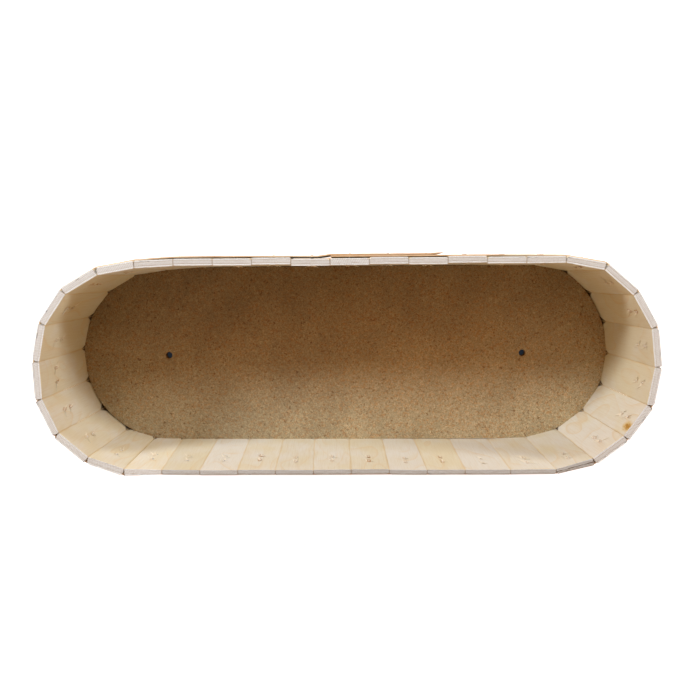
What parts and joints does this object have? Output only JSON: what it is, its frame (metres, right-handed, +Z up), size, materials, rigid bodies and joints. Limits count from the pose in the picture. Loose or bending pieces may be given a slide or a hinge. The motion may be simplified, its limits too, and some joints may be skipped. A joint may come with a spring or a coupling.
{
  "type": "oval stave box",
  "caption": "Long open oval box of upright plywood staves round a fibreboard floor with drain holes, held by bent-wood bands and wire staples.",
  "frame": {"origin": "on the surface the tub stands on, under the middle of the oval", "axes": "+X along the length, +Y to the wall where the bands lap, +Z up"},
  "size_m": [0.4116, 0.1475, 0.09],
  "materials": {
    "stave_plywood": "bare sawn three-ply, pale core between tan face veneers",
    "fibreboard": "bare brown fibreboard, fine speckle, slightly soiled",
    "band_wood": "thin bent wood, long grain, bare",
    "staple_wire": "plain flat staple wire"
  },
  "bodies": {
    "root": {"stave_01": "stave_plywood", "stave_02": "stave_plywood", "stave_03": "stave_plywood", "stave_04": "stave_plywood", "stave_05": "stave_plywood", "stave_06": "stave_plywood", "stave_07": "stave_plywood", "stave_08": "stave_plywood", "stave_09": "stave_plywood", "stave_10": "stave_plywood", "stave_11": "stave_plywood", "stave_12": "stave_plywood", "stave_13": "stave_plywood", "stave_14": "stave_plywood", "stave_15": "stave_plywood", "stave_16": "stave_plywood", "stave_17": "stave_plywood", "stave_18": "stave_plywood", "stave_19": "stave_plywood", "stave_20": "stave_plywood", "stave_21": "stave_plywood", "stave_22": "stave_plywood", "stave_23": "stave_plywood", "stave_24": "stave_plywood", "stave_25": "stave_plywood", "stave_26": "stave_plywood", "stave_27": "stave_plywood", "stave_28": "stave_plywood", "stave_29": "stave_plywood", "stave_30": "stave_plywood", "stave_31": "stave_plywood", "stave_32": "stave_plywood", "stave_33": "stave_plywood", "stave_34": "stave_plywood", "stave_35": "stave_plywood", "stave_36": "stave_plywood", "stave_37": "stave_plywood", "stave_38": "stave_plywood", "base_board": "fibreboard", "upper_band": "band_wood", "foot_band": "band_wood", "upper_staples": "staple_wire", "lap_staples": "staple_wire", "foot_staples": "staple_wire"}
  },
  "joints": []
}
